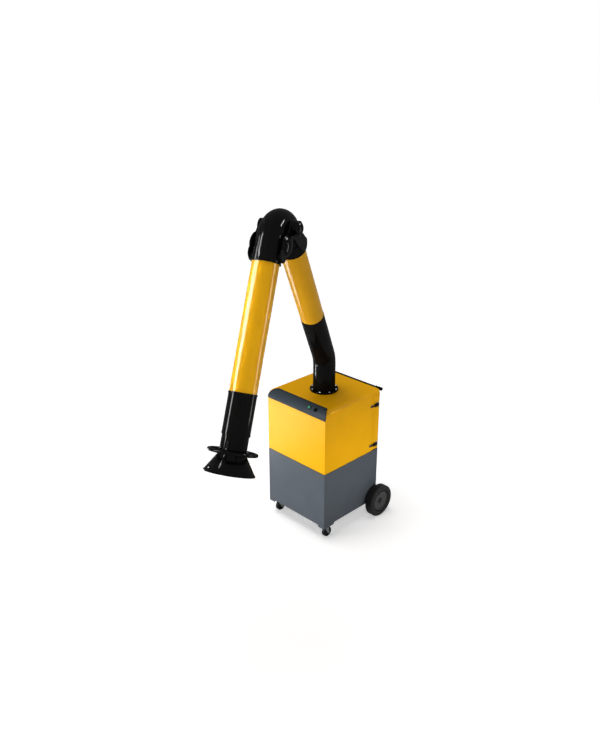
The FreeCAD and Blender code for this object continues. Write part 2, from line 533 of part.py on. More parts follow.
def rear_door():
    """Yellow door pan that wraps onto the sides, its seal, hinges and draw latches."""
    low_y = f"({DOOR_Y} + door_gap)"
    inner_x = f"({SIDE} - door_wall)"
    way_x = f"({INSIDE_X} - door_lip)"
    way_low = "(seam_z + door_lip)"
    way_high = f"({DOOR_TOP} - door_lip)"
    pan = box((f"-{SIDE}", low_y, DOOR_LOW), (SIDE, REAR, DOOR_TOP))
    hollow = box((f"-{inner_x}", f"{low_y} + door_wall", f"{DOOR_LOW} + door_wall"),
                 (inner_x, f"{REAR} - door_wall", f"{DOOR_TOP} - door_wall"))
    way = box((f"-{way_x}", f"{low_y} - door_wall", way_low), (way_x, f"{low_y} + door_wall * 2", way_high))
    subpart("rear_door", cut(pan, hollow, way))
    strip = box((f"-{inner_x}", f"{low_y} - seal_thick", f"{DOOR_LOW} + door_wall"),
                (inner_x, low_y, f"{DOOR_TOP} - door_wall"))
    gap = box((f"-{way_x}", f"{low_y} - seal_thick * 2", way_low), (way_x, f"{low_y} + seal_thick", way_high))
    subpart("door_seal", cut(strip, gap))

    leaves = []
    straps = []
    leaf_x = f"(-{SIDE} - hinge_leaf_thick)"
    for low_z in HINGE_ZS:
        middle = f"({low_z} + hinge_tall / 2)"
        top = f"({low_z} + hinge_tall)"
        at = (HINGE_X, HINGE_Y, low_z)
        leaves.append(fuse(box((leaf_x, f"{HINGE_Y} - hinge_leaf", low_z), (f"-{SIDE}", HINGE_Y, middle)),
                           cylinder("hinge_knuckle_r", at, "hinge_tall / 2"),
                           cylinder("hinge_pin_r", at, "hinge_tall")))
        above = (HINGE_X, HINGE_Y, f"{middle} + clearance")
        leaf = box((leaf_x, f"{HINGE_Y} + door_gap / 2", above[2]),
                   (f"-{SIDE}", f"{HINGE_Y} + hinge_leaf", top))
        strap = fuse(leaf, cylinder("hinge_knuckle_r", above, f"{top} - ({above[2]})"))
        straps.append(cut(strap, cylinder("hinge_pin_r + running", at, "hinge_tall * 2")))
    subpart("door_hinge_leaves", fuse(*leaves))
    subpart("door_hinge_straps", fuse(*straps))

    bases = []
    keepers = []
    for name, z in LATCH_ZS.items():
        lever_low = f"({LATCH_PIN_X} - latch_lever / 2)"
        lever_high = f"({LATCH_PIN_X} + latch_lever / 2)"
        ear = "(latch_half + clearance)"
        ear_end = f"({ear} + latch_ear)"
        foot = f"({SIDE} + latch_plate)"
        base = [box((SIDE, f"{LATCH_PIN_Y} - latch_half", f"{z} - {ear_end}"),
                    (foot, f"{LATCH_PIN_Y} + latch_half", f"{z} + {ear_end}")),
                cylinder("latch_pin_r", (LATCH_PIN_X, LATCH_PIN_Y, f"{z} - {ear_end}"), f"{ear_end} * 2")]
        for low, high in both_ways(ear, ear_end):
            base.append(box((SIDE, f"{LATCH_PIN_Y} - latch_eye_r", f"{z} + {low}"),
                            (f"{lever_high} + clearance", f"{LATCH_PIN_Y} + latch_eye_r", f"{z} + {high}")))
        bases.append(fuse(*base))
        grip = box((lever_low, f"{LATCH_PIN_Y} - latch_grip", f"{z} - latch_half"),
                   (lever_high, LATCH_PIN_Y, f"{z} + latch_half"))
        hook = box((lever_low, f"{DOOR_Y} - latch_reach", f"{z} - latch_hook_half"),
                   (lever_high, LATCH_PIN_Y, f"{z} + latch_hook_half"))
        eye_at = (LATCH_PIN_X, LATCH_PIN_Y, f"{z} - latch_half")
        lever = fuse(grip, hook, cylinder("latch_eye_r", eye_at, "latch_half * 2"))
        subpart(name, cut(lever, cylinder("latch_pin_r + running", eye_at, "latch_half * 2")))
        keepers.append(box((SIDE, f"{DOOR_Y} - latch_reach - latch_plate", f"{z} - keeper_half"),
                           (f"{lever_low} - clearance", f"{DOOR_Y} - latch_reach - latch_plate + keeper_long",
                            f"{z} + keeper_half")))
    subpart("latch_bases", fuse(*bases))
    subpart("latch_keepers", fuse(*keepers))


def push_bar():
    """Black push bar behind the rear top edge, on two brackets, with end caps."""
    bar_at = ("-bar_half", BAR_Y, BAR_Z)
    subpart("push_bar", cylinder("bar_r", bar_at, "bar_half * 2", "X"))
    caps = [cylinder("bar_cap_r", ("bar_half", BAR_Y, BAR_Z), "bar_cap", "X"),
            cylinder("bar_cap_r", ("-bar_half - bar_cap", BAR_Y, BAR_Z), "bar_cap", "X")]
    subpart("push_bar_caps", fuse(*caps))
    bore = cylinder("bar_r", bar_at, "bar_half * 2", "X")
    arms = []
    for x in ("bracket_x", "-bracket_x"):
        low_x = f"{x} - bracket_thick / 2"
        arms.append(box((low_x, REAR, f"{BAR_Z} - bracket_tall / 2"),
                        (f"{x} + bracket_thick / 2", BAR_Y, f"{BAR_Z} + bracket_tall / 2")))
        arms.append(cylinder("bar_r + bracket_thick / 2", (low_x, BAR_Y, BAR_Z), "bracket_thick", "X"))
    subpart("push_bar_brackets", cut(fuse(*arms), bore))


def rear_wheels():
    """Fixed rear axle in two blocks, with a tyred wheel and a cap at each end."""
    hub_out = f"({SIDE} + wheel_gap + wheel_wide + hub_boss)"
    cap_in = f"({hub_out} + clearance)"
    subpart("rear_axle", cylinder("axle_r", (f"-{cap_in}", "axle_y", "wheel_r"), f"{cap_in} * 2", "X"))
    caps = [cylinder("axle_cap_r", (cap_in, "axle_y", "wheel_r"), "axle_cap", "X"),
            cylinder("axle_cap_r", (f"-{cap_in} - axle_cap", "axle_y", "wheel_r"), "axle_cap", "X")]
    subpart("axle_caps", fuse(*caps))
    hole = cylinder("axle_r + running", ("-cab_width", "axle_y", "wheel_r"), "cab_width * 2", "X")
    blocks = []
    for x in ("axle_block_x", "-axle_block_x"):
        blocks.append(box((f"{x} - axle_block / 2", f"{INSIDE_Y} - axle_block", "wheel_r - axle_block / 2"),
                          (f"{x} + axle_block / 2", INSIDE_Y, "base_z")))
    subpart("axle_brackets", cut(fuse(*blocks), hole))

    rim_low = "tyre_set"
    rim_high = "(wheel_wide - tyre_set)"
    tread_low = "((wheel_wide - tread_wide) / 2)"
    tread_high = "((wheel_wide + tread_wide) / 2)"
    bead = "(hub_r + running)"
    wall_r = "(wheel_r - sidewall_drop)"
    edge_r = "(wheel_r - tread_drop)"
    tyre = [(bead, rim_low), (wall_r, "0"), (edge_r, "tyre_set / 2"), ("wheel_r", tread_low),
            ("wheel_r", tread_high), (edge_r, "wheel_wide - tyre_set / 2"), (wall_r, "wheel_wide"),
            (bead, rim_high)]
    web_low = "((wheel_wide - hub_web) / 2)"
    web_high = "((wheel_wide + hub_web) / 2)"
    rim_in = "(hub_r - hub_rim)"
    bore = "(axle_r + running)"
    hub = [(bore, "clearance - wheel_gap"), ("hub_boss_r", "clearance - wheel_gap"), ("hub_boss_r", web_low),
           (rim_in, web_low), (rim_in, rim_low), ("hub_r", rim_low), ("hub_r", rim_high), (rim_in, rim_high),
           (rim_in, web_high), ("hub_boss_r", web_high), ("hub_boss_r", "wheel_wide + hub_boss"),
           (bore, "wheel_wide + hub_boss")]
    for name, sign in (("right", ""), ("left", "-")):
        at = (f"{sign}({SIDE} + wheel_gap)", "axle_y", "wheel_r")
        frame = placement(at, f"rotation(vector(0; 1; 0); {sign}90)")
        subpart(f"rear_tyre_{name}", revolved(tyre), frame)
        subpart(f"rear_hub_{name}", revolved(hub), frame)


def casters():
    """Two front swivel casters: fixed plates with kingpins, forks with their bolts, wheels."""
    race_low = "(base_z - caster_plate_thick - caster_race)"
    cap_high = f"({race_low} - clearance)"
    cap_low = f"({cap_high} - fork_cap)"
    head_high = f"({cap_low} - clearance)"
    half = "(caster_plate / 2)"
    leg_in = "(caster_wheel_wide / 2 + fork_play)"
    leg_out = f"({leg_in} + fork_leg)"
    plates = []
    for name, sign in (("right", ""), ("left", "-")):
        x = f"{sign}caster_x"
        plates.append(fuse(
            box((f"{x} - {half}", f"-caster_y - {half}", "base_z - caster_plate_thick"),
                (f"{x} + {half}", f"-caster_y + {half}", "base_z")),
            cylinder("caster_race_r", (x, "-caster_y", race_low), "caster_race"),
            cylinder("kingpin_r", (x, "-caster_y", head_high), f"{race_low} - {head_high}"),
            cylinder("kingpin_head_r", (x, "-caster_y", f"{head_high} - kingpin_head"), "kingpin_head")))
        swivel = "rotation(vector(0; 0; 1); caster_turn)"
        frame = placement((x, "-caster_y", "0"), swivel)
        bolt_hole = ("caster_trail", f"-{leg_out} * 2", "caster_wheel_r")
        crown = cylinder("fork_cap_r", ("0", "0", cap_low), "fork_cap")
        leg = [("-fork_half", cap_high), ("fork_half", cap_high),
               ("caster_trail + fork_half / 2", "caster_wheel_r"),
               ("caster_trail", "caster_wheel_r - fork_half / 2"),
               ("caster_trail - fork_half / 2", "caster_wheel_r"), ("-fork_half", cap_low)]
        legs = [plate(leg, low, high) for low, high in both_ways(leg_in, leg_out)]
        fork = cut(fuse(crown, *legs), cylinder("kingpin_r + running", ("0", "0", "0"), "base_z"),
                   cylinder("caster_axle_r + running", bolt_hole, f"{leg_out} * 4", "Y"))
        bolt_at = ("caster_trail", f"-{leg_out}", "caster_wheel_r")
        bolt = [cylinder("caster_axle_r", bolt_at, f"{leg_out} * 2", "Y")]
        for low, high in both_ways(leg_out, f"{leg_out} + caster_bolt"):
            bolt.append(cylinder("caster_bolt_r", ("caster_trail", low, "caster_wheel_r"), "caster_bolt", "Y"))
        subpart(f"caster_fork_{name}", fuse(fork, fuse(*bolt)), frame)

        edge = "(caster_wheel_wide / 2)"
        bore = "(caster_axle_r + running)"
        hub = f"({edge} + fork_play - clearance)"
        profile = [(bore, f"-{hub}"), ("caster_bolt_r", f"-{hub}"), ("caster_bolt_r", f"fork_leg * 2 - {edge}"),
                   ("caster_core_r", f"fork_leg * 2 - {edge}"), ("caster_core_r", f"-{edge}"),
                   ("caster_wheel_r - fork_leg", f"-{edge}"), ("caster_wheel_r", f"fork_leg - {edge}"),
                   ("caster_wheel_r", f"{edge} - fork_leg"), ("caster_wheel_r - fork_leg", edge),
                   ("caster_core_r", edge), ("caster_core_r", f"{edge} - fork_leg * 2"),
                   ("caster_bolt_r", f"{edge} - fork_leg * 2"),
                   ("caster_bolt_r", hub), (bore, hub)]
        at = (f"{x} + caster_trail * cos(caster_turn)", "caster_trail * sin(caster_turn) - caster_y",
              "caster_wheel_r")
        subpart(f"caster_wheel_{name}", revolved(profile), placement(at, f"{swivel} * {TOWARDS['Y']}"))
    subpart("caster_plates", fuse(*plates))


def cable_gland():
    """Mains cable gland in the rear wall of the lower housing."""
    inside = ("-gland_x", f"{INSIDE_Y} - gland_nut", "gland_z")
    body = cylinder("gland_r", inside, "gland_nut + wall + gland_out", "Y")
    nut = cylinder("gland_nut_r", ("-gland_x", REAR, "gland_z"), "gland_nut", "Y")
    bore = cylinder("gland_r / 2", ("-gland_x", f"{INSIDE_Y} - gland_nut * 2", "gland_z"), "gland_out * 3", "Y")
    subpart("cable_gland", cut(fuse(body, nut), bore))


def column():
    """Bolted flange with its spigot, the sleeve that swivels on it, and the shoulder yoke."""
    spigot_in = "(spigot_r - spigot_wall)"
    subpart("arm_flange", revolved([
        (spigot_in, "cab_top - spigot_drop"), (SPIGOT_NECK, "cab_top - spigot_drop"), (SPIGOT_NECK, "cab_top"),
        ("flange_r", "cab_top"), ("flange_r", FLANGE_TOP), ("spigot_r", FLANGE_TOP),
        ("spigot_r", f"{FLANGE_TOP} + spigot_tall"), (spigot_in, f"{FLANGE_TOP} + spigot_tall")]))
    bolts = []
    for bolt in range(FLANGE_BOLTS):
        angle = 360 / FLANGE_BOLTS * (bolt + 0.5)
        at = (f"bolt_ring_r * cos({angle})", f"bolt_ring_r * sin({angle})", FLANGE_TOP)
        bolts.append(cylinder("bolt_head_r", at, "bolt_head"))
    subpart("flange_bolts", fuse(*bolts))
    sleeve_r = f"({SLEEVE_BORE} + sleeve_wall)"
    subpart("swivel_sleeve", revolved(rectangle(SLEEVE_BORE, SLEEVE_LOW, sleeve_r, SLEEVE_TOP)), TURRET)

    foot = f"({FLANGE_TOP} + spigot_tall + spider_half)"
    deck = f"({foot} + spider_thick)"
    yoke_out = "(yoke_gap + yoke_ear)"
    spider = common(box(("-spider_half", "-spigot_r * 2", foot), ("spider_half", "spigot_r * 2", deck)),
                    cylinder(f"{SLEEVE_BORE} - running", ("0", "0", foot), "spider_thick"))
    bridge = box(("-yoke_half", f"-{yoke_out}", f"{deck} - yoke_ear"),
                 ("yoke_half", yoke_out, f"{deck} + yoke_ear"))
    pieces = [spider, bridge]
    for low, high in both_ways("yoke_gap", yoke_out):
        pieces.append(box(("-yoke_half", low, deck), ("yoke_half", high, SHOULDER_Z)))
        pieces.append(cylinder("yoke_half", ("0", low, SHOULDER_Z), "yoke_ear", "Y"))
    hole = cylinder("shoulder_pin_r + running", ("0", f"-{yoke_out} * 2", SHOULDER_Z), f"{yoke_out} * 4", "Y")
    subpart("shoulder_yoke", cut(fuse(*pieces), hole), TURRET)
    pin_out = f"({yoke_out} + clearance)"
    pin = [cylinder("shoulder_pin_r", ("0", f"-{pin_out}", SHOULDER_Z), f"{pin_out} * 2", "Y")]
    for low, high in both_ways(pin_out, f"{pin_out} + shoulder_nut"):
        pin.append(cylinder("shoulder_nut_r", ("0", low, SHOULDER_Z), "shoulder_nut", "Y"))
    subpart("shoulder_pin", fuse(*pin), TURRET)


def bent_duct(radius, start, bend_z, bend_r, turn, tail, over="0"):
    """Solid round duct that runs up Z, bends towards X and runs on, longer at both ends by an overrun."""
    bend_end = (f"{bend_r} * (1 - cos({turn}))", "0", f"{bend_z} + {bend_r} * sin({turn})")
    return fuse(cylinder(radius, ("0", "0", f"{start} - {over}"), f"{bend_z} - {start} + {over}"),
                torus(bend_r, radius, (bend_r, "0", bend_z), "rotation(vector(0; 1; 1); 180)", turn),
                cylinder(radius, bend_end, f"{tail} + {over}", f"rotation(vector(0; 1; 0); {turn})"))


def hose(label, frame, *route):
    """Smooth flexible hose with its bore."""
    bore = bent_duct(f"{HOSE_R} - hose_wall", *route, over="hose_wall")
    subpart(label, cut(bent_duct(HOSE_R, *route), bore), frame)


def ear_pair(foot_z, pivot, low, high):
    """Two hinge ears with round ends, from a foot on the tube's axis to the elbow's pivot."""
    lean = f"atan({pivot[0]} / ({pivot[1]} - {foot_z}))"
    out = f"(ear_half - cover_edge) * cos({lean})"
    down = f"(ear_half - cover_edge) * sin({lean})"
    outline = [(out, f"{foot_z} - {down}"), (f"{pivot[0]} + {out}", f"{pivot[1]} - {down}"),
               (f"{pivot[0]} - {out}", f"{pivot[1]} + {down}"), (f"-{out}", f"{foot_z} + {down}")]
    pieces = []
    for near, far in both_ways(low, high):
        pieces.append(plate(outline, near, far))
        for x, z in (("0", foot_z), pivot):
            pieces.append(cylinder("ear_half", (x, near, z), "ear_thick", "Y"))
    return pieces


def clamp_collar(low, lip_z, ears, ear_out):
    """Collar with a lip round a tube's end, with the round pads that carry its two ears."""
    middle = f"({low} + collar_long / 2)"
    pieces = [cylinder(COLLAR_R, ("0", "0", low), "collar_long"),
              cylinder(f"{COLLAR_R} + collar_lip", ("0", "0", lip_z), "collar_wall")] + ears
    for near, far in both_ways("tube_r", ear_out):
        pad_at = ("0", near, middle)
        pieces.append(cylinder("collar_long / 2 - collar_wall - collar_lip", pad_at, f"({far}) - ({near})", "Y"))
    bore = cylinder("tube_r + running", ("0", "0", f"{low} - collar_wall"), "collar_long + collar_wall * 2")
    return cut(fuse(*pieces), bore)


def tube_spider(low):
    """Bar across a tube's bore."""
    bar = box(("-spider_half", "-tube_r * 2", low), ("spider_half", "tube_r * 2", f"{low} + spider_thick"))
    return common(bar, cylinder(f"{BORE_R} - running", ("0", "0", low), "spider_thick"))


def inner_arm():
    """Inner tube on its shoulder link, with the collar that carries the elbow's inner ears."""
    turn_in = "(yoke_gap - clearance)"
    spider_low = "(inner_tube_start + tube_grip)"
    spider = tube_spider(spider_low)
    bar = box(("-link_half", "-link_side", "0"), ("link_half", "link_side", f"{spider_low} + spider_half"))
    link = fuse(spider, bar, cylinder("yoke_half", ("0", f"-{turn_in}", "0"), f"{turn_in} * 2", "Y"))
    pin_hole = cylinder("shoulder_pin_r + running", ("0", "-tube_r", "0"), "tube_r * 2", "Y")
    subpart("shoulder_link", cut(link, pin_hole), INNER)
    collar_end = f"({INNER_END} + collar_long)"
    tube = rectangle(BORE_R, "inner_tube_start", "tube_r", f"{INNER_END} + tube_grip")
    subpart("inner_tube", revolved(tube), INNER)
    pivot = (ELBOW_OFF, "(inner_long - elbow_reach)")
    foot_z = f"({INNER_END} + collar_long / 2 + ear_set)"
    ear_end = f"({EAR_IN} + ear_thick)"
    ears = ear_pair(foot_z, pivot, EAR_IN, ear_end)
    collar = clamp_collar(INNER_END, INNER_END, ears, ear_end)
    hole = cylinder("elbow_pin_r + running", (pivot[0], "-tube_r * 2", pivot[1]), "tube_r * 4", "Y")
    subpart("elbow_inner_collar", cut(collar, hole), INNER)
    hose("base_hose", TURRET, f"({SLEEVE_TOP} + clearance)", f"({SHOULDER_Z} - {BASE_TANGENT})",
         "base_bend_r", "inner_tilt", f"(inner_tube_start - clearance - {BASE_TANGENT})")
    hose("elbow_hose", INNER, f"({collar_end} + clearance)", f"(inner_long - {ELBOW_TANGENT})",
         "elbow_bend_r", ELBOW_TURN, f"(outer_tube_start - collar_long - clearance - {ELBOW_TANGENT})")


def outer_arm():
    """Outer tube with the elbow's outer ears and hinge bosses, and the stem that holds the hood."""
    collar_low = "(outer_tube_start - collar_long)"
    pivot = (ELBOW_OFF, "elbow_reach")
    foot_z = f"({collar_low} + collar_long / 2 - ear_set)"
    ear_end = f"({EAR_OUT} + ear_thick)"
    ears = ear_pair(foot_z, pivot, EAR_OUT, ear_end)
    cover_x = f"({pivot[0]} / 3)"
    cover_z = f"(({foot_z} * 2 + {pivot[1]}) / 3)"
    for near, far in both_ways(EAR_OUT, ear_end):
        ears.append(cylinder("cover_r", (cover_x, near, cover_z), "ear_thick", "Y"))
    for outwards, face in ((1, ear_end), (-1, f"-{ear_end}")):
        ears.append(dome("cover_r - cover_edge", "cover_rise", "ear_gap", (cover_x, face, cover_z), outwards))
    collar = clamp_collar(collar_low, "outer_tube_start - collar_wall", ears, ear_end)
    hole = cylinder("elbow_pin_r + running", (pivot[0], "-tube_r * 2", pivot[1]), "tube_r * 4", "Y")
    subpart("elbow_outer_collar", cut(collar, hole), OUTER)
    boss_end = f"({ear_end} + hinge_boss)"
    bosses = [cylinder("hinge_boss_r", (pivot[0], ear_end, pivot[1]), "hinge_boss", "Y"),
              dome("hinge_boss_r - cover_edge", "hinge_dome", "ear_gap", (pivot[0], boss_end, pivot[1]), 1),
              cylinder("hinge_boss_r", (pivot[0], f"-{ear_end} - hinge_cap", pivot[1]), "hinge_cap", "Y")]
    for near, far in both_ways(EAR_IN, ear_end):
        bosses.append(cylinder("elbow_pin_r", (pivot[0], near, pivot[1]), f"({far}) - ({near})", "Y"))
    subpart("elbow_hinge_bosses", fuse(*bosses), OUTER)
    tube = rectangle(BORE_R, "outer_tube_start - tube_grip", "tube_r", "outer_tube_end")
    subpart("outer_tube", revolved(tube), OUTER)

    spider_low = "(outer_tube_end - tube_grip - spider_thick)"
    bridge = f"({HOOD_JOINT} - cross_reach)"
    cross_out = "(cross_gap + cross_ear)"
    spider = tube_spider(spider_low)
    pieces = [spider, cylinder("stem_r", ("0", "0", spider_low), f"{bridge} - {spider_low}"),
              box(("-cross_ear_half", f"-{cross_out}", f"{bridge} - cross_bridge"),
                  ("cross_ear_half", cross_out, bridge))]
    for low, high in both_ways("cross_gap", cross_out):
        pieces.append(box(("-cross_ear_half", low, bridge), ("cross_ear_half", high, HOOD_JOINT)))
        pieces.append(cylinder("cross_ear_half", ("0", low, HOOD_JOINT), "cross_ear", "Y"))
    hole = cylinder("cross_pin_r + running", ("0", "-tube_r", HOOD_JOINT), "tube_r * 2", "Y")
    subpart("hood_stem", cut(fuse(*pieces), hole), OUTER)
    subpart("hood_knuckle", fuse(
        box(("-cross_half", "-cross_half", f"{HOOD_JOINT} - cross_half"),
            ("cross_half", "cross_half", f"{HOOD_JOINT} + cross_half")),
        cylinder("cross_pin_r", ("0", f"-{cross_out}", HOOD_JOINT), f"{cross_out} * 2", "Y"),
        cylinder("cross_pin_r", (f"-{cross_out}", "0", HOOD_JOINT), f"{cross_out} * 2", "X")), OUTER)
    hose_start = "(outer_tube_end + clearance)"
    hose_bore = f"({HOSE_R} - hose_wall)"
    subpart("hood_hose", revolved([
        (hose_bore, hose_start), (f"{HOSE_R} + cuff_extra", hose_start),
        (f"{HOSE_R} + cuff_extra", f"{hose_start} + cuff_long"), (HOSE_R, f"{hose_start} + cuff_long"),
        (HOSE_R, f"{HOOD_START} - clearance"), (hose_bore, f"{HOOD_START} - clearance")]), OUTER)


def hood():
    """Hood with its neck and flare, the ring handle round it and the damper in its neck."""
    neck_in = "(neck_r - hood_wall)"
    rim_in = "(rim_r - hood_wall)"
    lip = "(rim_r + rim_lip)"
    ridge_end = f"({HOOD_START} + ridge_long)"
    shell = revolved([
        (neck_in, HOOD_START), ("ridge_r", HOOD_START), ("ridge_r", ridge_end), ("neck_r", ridge_end),
        ("neck_r", FLARE_Z), ("rim_r", RIM_Z), (lip, RIM_Z), (lip, HOOD_END),
        (rim_in, HOOD_END), (rim_in, RIM_Z), (neck_in, FLARE_Z)])
    cross_out = "(cross_gap + cross_ear)"
    bridge = f"({HOOD_JOINT} + cross_reach)"
    bar_low = f"({HOOD_START} + clearance)"
    bar_high = f"({bar_low} + hood_bar)"
    bar = common(box(("-hood_bar_half", "-neck_r * 2", bar_low), ("hood_bar_half", "neck_r * 2", bar_high)),
                 cylinder("neck_r - hood_wall / 2", ("0", "0", bar_low), "hood_bar"))
    pieces = [shell, bar, cylinder("stem_r", ("0", "0", bridge), f"{bar_high} - {bridge}"),
              box((f"-{cross_out}", "-cross_ear_half", bridge),
                  (cross_out, "cross_ear_half", f"{bridge} + cross_bridge"))]
    for low, high in both_ways("cross_gap", cross_out):
        pieces.append(box((low, "-cross_ear_half", HOOD_JOINT), (high, "cross_ear_half", bridge)))
        pieces.append(cylinder("cross_ear_half", (low, "0", HOOD_JOINT), "cross_ear", "X"))
    knuckle_hole = cylinder("cross_pin_r + running", ("-tube_r", "0", HOOD_JOINT), "tube_r * 2", "X")
    spindle_hole = cylinder("spindle_r + running", ("-rim_r", "0", DAMPER_Z), "rim_r * 2", "X")
    subpart("hood_cone", cut(fuse(*pieces), knuckle_hole, spindle_hole), OUTER)

    band = rectangle("neck_r + running", f"{RING_Z} - ring_band_half",
                     "neck_r + ring_band", f"{RING_Z} + ring_band_half")
    ring = [revolved(band), torus("ring_r", "ring_rod_r", ("0", "0", RING_Z))]
    for spoke in range(RING_SPOKES):
        angle = 360 / RING_SPOKES * (spoke + 0.5)
        at = (f"(neck_r + ring_band / 2) * cos({angle})", f"(neck_r + ring_band / 2) * sin({angle})", RING_Z)
        turn = f"rotation(vector(0; 0; 1); {angle}) * {TOWARDS['X']}"
        ring.append(cylinder("spoke_r", at, "ring_r - neck_r", turn))
    subpart("hood_ring", fuse(*ring), OUTER)

    out = "(neck_r + spindle_out)"
    lever = box((f"-{out}", "-lever_half", f"{DAMPER_Z} - damper_lever"),
                (f"lever_half - {out}", "lever_half", f"{DAMPER_Z} + lever_half"))
    flap = cylinder("damper_r", ("0", "-damper_thick / 2", DAMPER_Z), "damper_thick", "Y")
    spindle = cylinder("spindle_r", (f"-{out}", "0", DAMPER_Z), f"{out} + neck_r", "X")
    subpart("damper", fuse(flap, spindle, lever), OUTER)


lower_housing()
upper_housing()
control_panel()
decks()
filter_cassette()
fan()
rear_door()
push_bar()
rear_wheels()
casters()
cable_gland()
column()
inner_arm()
outer_arm()
hood()
doc.recompute()

for item in doc.Objects:
    if {"Invalid", "Error"} & set(item.State):
        raise RuntimeError(f"{item.Label} failed: {item.State}")
for item in SUBPARTS:
    if item.Shape.isNull() or not item.Shape.isValid() or not item.Shape.Solids:
        raise RuntimeError(f"{item.Label} has no valid solid")

os.makedirs("parts", exist_ok=True)
for item in SUBPARTS:
    item.Shape.exportStep(f"parts/{item.Label}.step")
    print(item.Label, len(item.Shape.Solids), "solids", round(item.Shape.Volume / 1000, 1), "cm3")
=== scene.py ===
"""Looks of the mobile fume extractor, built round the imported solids. Lengths are in metres."""
import bpy
import bmesh
import json
import math
from mathutils import Matrix, Vector


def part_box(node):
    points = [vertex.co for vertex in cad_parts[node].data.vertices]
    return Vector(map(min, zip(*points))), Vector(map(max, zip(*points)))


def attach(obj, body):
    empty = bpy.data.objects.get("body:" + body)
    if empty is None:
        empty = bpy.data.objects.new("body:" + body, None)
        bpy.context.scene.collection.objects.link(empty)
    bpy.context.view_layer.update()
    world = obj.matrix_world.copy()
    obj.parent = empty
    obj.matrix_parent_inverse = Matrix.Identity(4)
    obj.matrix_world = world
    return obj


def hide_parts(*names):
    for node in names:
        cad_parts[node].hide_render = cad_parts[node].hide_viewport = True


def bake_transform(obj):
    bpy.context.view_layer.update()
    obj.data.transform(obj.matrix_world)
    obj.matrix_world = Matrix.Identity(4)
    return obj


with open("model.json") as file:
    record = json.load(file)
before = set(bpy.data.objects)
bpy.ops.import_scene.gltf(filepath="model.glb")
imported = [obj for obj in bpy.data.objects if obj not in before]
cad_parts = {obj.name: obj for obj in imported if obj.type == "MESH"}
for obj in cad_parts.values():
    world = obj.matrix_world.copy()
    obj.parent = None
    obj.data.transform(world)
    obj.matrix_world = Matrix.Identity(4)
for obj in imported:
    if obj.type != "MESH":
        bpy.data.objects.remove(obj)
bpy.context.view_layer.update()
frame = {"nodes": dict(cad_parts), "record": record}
NODES = frame["nodes"]
BODIES = frame["record"]["behaviour"]["bodies"]
BODY_OF = {node: body for body, nodes in BODIES.items() for node in nodes}

ROUND = 96           # faces round a turned piece
SHARP = 35           # degrees from which an edge stays sharp
WELD = 0.00002       # distance within which corners of a solid's mesh become one
FLAT = 0.4           # degrees within which neighbouring facets become one face
BEVEL_STEPS = 3      # faces across a broken edge
GRAIN_DEEP = 0.0006  # depth that full bump strength stands for

# The arm's own frames, as in the part's source
AZIMUTH, INNER_TILT, OUTER_TILT = (math.radians(angle) for angle in (22.8, 32.5, 26.3))
ELBOW_TURN = math.radians(121.2)
SHOULDER_Z = 1.336
INNER_LONG = 1.534   # from the shoulder to the elbow
HOOD_JOINT = 1.263   # from the elbow to the hood's joint
HOSE_R, HOSE_WALL = 0.084, 0.003


def on_axis(z):
    """Point on the Z axis of a frame."""
    return Vector((0, 0, z))


TURRET = Matrix.Rotation(AZIMUTH - math.pi / 2, 4, "Z")
INNER = Matrix.Translation(on_axis(SHOULDER_Z)) @ TURRET @ Matrix.Rotation(INNER_TILT, 4, "Y")
OUTER = (Matrix.Translation(INNER @ on_axis(INNER_LONG)) @ TURRET
         @ Matrix.Rotation(math.pi - OUTER_TILT, 4, "Y"))


def link(name, data):
    """New object in the scene."""
    piece = bpy.data.objects.new(name, data)
    bpy.context.scene.collection.objects.link(piece)
    return piece


def smooth(mesh, angle=SHARP):
    """Smooth shading that keeps the edges sharper than an angle."""
    for face in mesh.polygons:
        face.use_smooth = True
    mesh.set_sharp_from_angle(angle=math.radians(angle))


def grid(rings):
    """Closed mesh through rings of points with equal counts; the last ring joins the first."""
    bm = bmesh.new()
    rows = [[bm.verts.new(point) for point in ring] for ring in rings]
    for low, high in zip(rows, rows[1:] + rows[:1]):
        for here in range(len(low)):
            there = (here + 1) % len(low)
            bm.faces.new((low[here], low[there], high[there], high[here]))
    bmesh.ops.recalc_face_normals(bm, faces=bm.faces)
    mesh = bpy.data.meshes.new("mesh")
    bm.to_mesh(mesh)
    bm.free()
    return mesh


def lathe(name, profile, place, segments=ROUND, angle=SHARP):
    """Closed ring of revolution about Z from (radius, z) corners, then put in place."""
    rings = []
    for radius, z in profile:
        turns = (2 * math.pi * step / segments for step in range(segments))
        rings.append([(radius * math.cos(turn), radius * math.sin(turn), z) for turn in turns])
    piece = link(name, grid(rings))
    piece.data.transform(place)
    smooth(piece.data, angle)
    return piece


def wear(piece, finish):
    """Give a piece a finish."""
    piece.data.materials.clear()
    piece.data.materials.append(finish.material)


def dress(name, node, finish, bevel):
    """Copy of a solid with its edges broken, in place of the sharp one."""
    piece = link(name, NODES[node].data.copy())
    bm = bmesh.new()
    bm.from_mesh(piece.data)
    bmesh.ops.remove_doubles(bm, verts=bm.verts, dist=WELD)
    bmesh.ops.dissolve_limit(bm, angle_limit=math.radians(FLAT), verts=bm.verts, edges=bm.edges)
    bm.to_mesh(piece.data)
    bm.free()
    wear(piece, finish)
    broken = piece.modifiers.new("broken_edges", "BEVEL")
    broken.width = bevel
    broken.segments = BEVEL_STEPS
    broken.limit_method = "ANGLE"
    broken.angle_limit = math.radians(SHARP)
    broken.harden_normals = True
    smooth(piece.data)
    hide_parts(node)
    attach(piece, BODY_OF[node])


